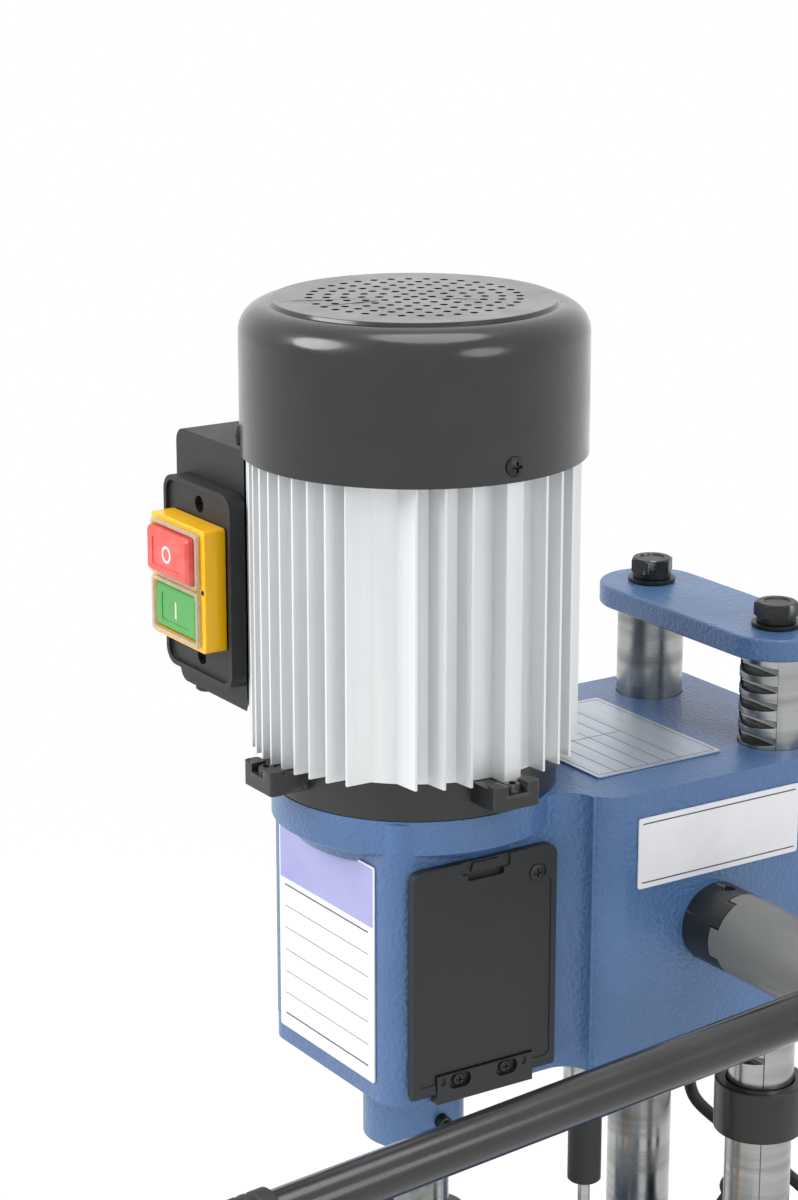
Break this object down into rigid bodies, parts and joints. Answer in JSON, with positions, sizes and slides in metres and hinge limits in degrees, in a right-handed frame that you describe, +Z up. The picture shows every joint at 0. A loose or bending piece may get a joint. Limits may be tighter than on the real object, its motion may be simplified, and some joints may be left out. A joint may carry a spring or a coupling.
{
  "type": "mortiser",
  "caption": "Benchtop hollow-chisel mortiser: base with fence, columns with a rack, sliding head with a finned motor on top, feed lever and push-button switch",
  "frame": {"origin": "on the base's underside, below the spindle axis", "axes": "+Z up along the columns, -Y towards the operator's side with the switch, +X towards the feed lever"},
  "size_m": [0.341, 0.6001, 0.622],
  "materials": {
    "blue": "gloss enamel",
    "black_metal": "satin black paint",
    "black_plastic": "moulded",
    "black_oxide": "black oxide",
    "aluminium": "as cast, bead blasted",
    "ground_steel": "ground",
    "bright_steel": "turned",
    "tool_steel": "hardened, ground",
    "lamination": "lacquered",
    "yellow": "moulded",
    "red": "moulded",
    "green": "moulded",
    "clear": "clear, moulded",
    "label": "printed sheet",
    "board": "sealed",
    "rubber": "moulded"
  },
  "bodies": {
    "frame": {"base_casting": "blue", "table_board": "board", "plain_column": "ground_steel", "rack_column": "ground_steel", "column_plate": "blue", "plate_bolt_left": "black_oxide", "plate_bolt_right": "black_oxide", "fence_bracket": "blue", "spring_rod": "bright_steel", "mains_cord": "rubber", "cord_coil": "rubber", "cord_plug": "rubber"},
    "depth_stop": {"depth_collar": "black_oxide"},
    "head": {"head_casting": "blue", "front_plate": "label", "rating_plate": "aluminium", "side_plate": "label", "hinge_strip_right": "black_plastic", "hinge_strip_left": "black_plastic", "motor_flange": "black_metal", "motor_body": "aluminium", "stator_core": "lamination", "lower_bearing": "bright_steel", "upper_bearing": "bright_steel", "end_shield": "aluminium", "fan_cowl": "black_metal", "switch_enclosure": "black_plastic", "switch_faceplate": "black_plastic", "switch_cover": "yellow", "button_frames": "clear", "switch_block": "black_plastic", "cord_gland": "rubber", "spring_tube": "bright_steel", "spring_sleeve": "black_plastic", "balance_spring": "bright_steel", "hollow_chisel": "tool_steel", "chisel_screw": "black_oxide"},
    "spindle": {"motor_shaft": "bright_steel", "rotor": "lamination", "cooling_fan": "black_plastic", "chuck_body": "tool_steel", "chuck_jaws": "tool_steel", "auger_bit": "bright_steel"},
    "feed_pinion": {"pinion_shaft": "bright_steel", "pinion_gear": "tool_steel", "dog_collar": "black_oxide", "hub_screw": "black_oxide"},
    "feed_lever": {"lever_hub": "black_oxide", "lever_bar": "black_metal", "lever_end_cap": "rubber"},
    "stop_key": {"stop_button": "red"},
    "start_key": {"start_button": "green"},
    "cover_right": {"chuck_cover_right": "black_plastic"},
    "cover_left": {"chuck_cover_left": "black_plastic"},
    "fence": {"fence_plate": "blue", "fence_bar": "bright_steel", "hold_down_post": "bright_steel"},
    "fence_lock": {"fence_lock_handle": "black_plastic"},
    "hold_down": {"hold_down_arm": "black_metal"},
    "hold_down_clamp": {"hold_down_knob": "black_plastic"}
  },
  "joints": [
    {"name": "head_slide", "type": "slide", "parent": "frame", "child": "head", "axis": [0, 0, 1], "range_m": [-0.0355, 0.041], "stiffness_N_per_m": 900, "springref_m": 0.2831, "deforming": ["balance_spring", "mains_cord"]},
    {"name": "pinion_turn", "type": "hinge", "parent": "head", "child": "feed_pinion", "pos_m": [0.0439, 0.108, 0.353], "axis": [1, 0, 0], "range_deg": [-63, 54.5]},
    {"name": "lever_pull", "type": "slide", "parent": "feed_pinion", "child": "feed_lever", "axis": [1, 0, 0], "range_m": [0, 0.008], "stiffness_N_per_m": 1500, "springref_m": -0.004},
    {"name": "spindle_spin", "type": "hinge", "parent": "head", "child": "spindle", "pos_m": [0, 0, 0.418], "axis": [0, 0, 1], "continuous": true},
    {"name": "stop_press", "type": "slide", "parent": "head", "child": "stop_key", "axis": [0, 1, 0], "range_m": [0, 0.003], "stiffness_N_per_m": 600, "springref_m": -0.002},
    {"name": "start_press", "type": "slide", "parent": "head", "child": "start_key", "axis": [0, 1, 0], "range_m": [0, 0.003], "stiffness_N_per_m": 600, "springref_m": -0.002},
    {"name": "cover_hinge_right", "type": "hinge", "parent": "head", "child": "cover_right", "pos_m": [0.0523, 0, 0.3008], "axis": [0, 1, 0], "range_deg": [0, 100]},
    {"name": "cover_hinge_left", "type": "hinge", "parent": "head", "child": "cover_left", "pos_m": [-0.0523, 0, 0.3008], "axis": [0, -1, 0], "range_deg": [0, 100]},
    {"name": "collar_slide", "type": "slide", "parent": "frame", "child": "depth_stop", "axis": [0, 0, 1], "range_m": [-0.06, 0]},
    {"name": "fence_slide", "type": "slide", "parent": "frame", "child": "fence", "axis": [0, 1, 0], "range_m": [-0.01, 0.03]},
    {"name": "fence_lock_turn", "type": "hinge", "parent": "frame", "child": "fence_lock", "pos_m": [0, 0.163, 0.17], "axis": [0, 0, 1], "range_deg": [-80, 80]},
    {"name": "hold_down_slide", "type": "slide", "parent": "fence", "child": "hold_down", "axis": [0, 0, 1], "range_m": [-0.03, 0.035]},
    {"name": "hold_down_turn", "type": "hinge", "parent": "hold_down", "child": "hold_down_clamp", "pos_m": [-0.07, 0.044, 0.18], "axis": [-1, 0, 0], "continuous": true}
  ],
  "couplings": [
    {"joint": "pinion_turn", "follows": "head_slide", "rad_per_m": -26.667}
  ]
}
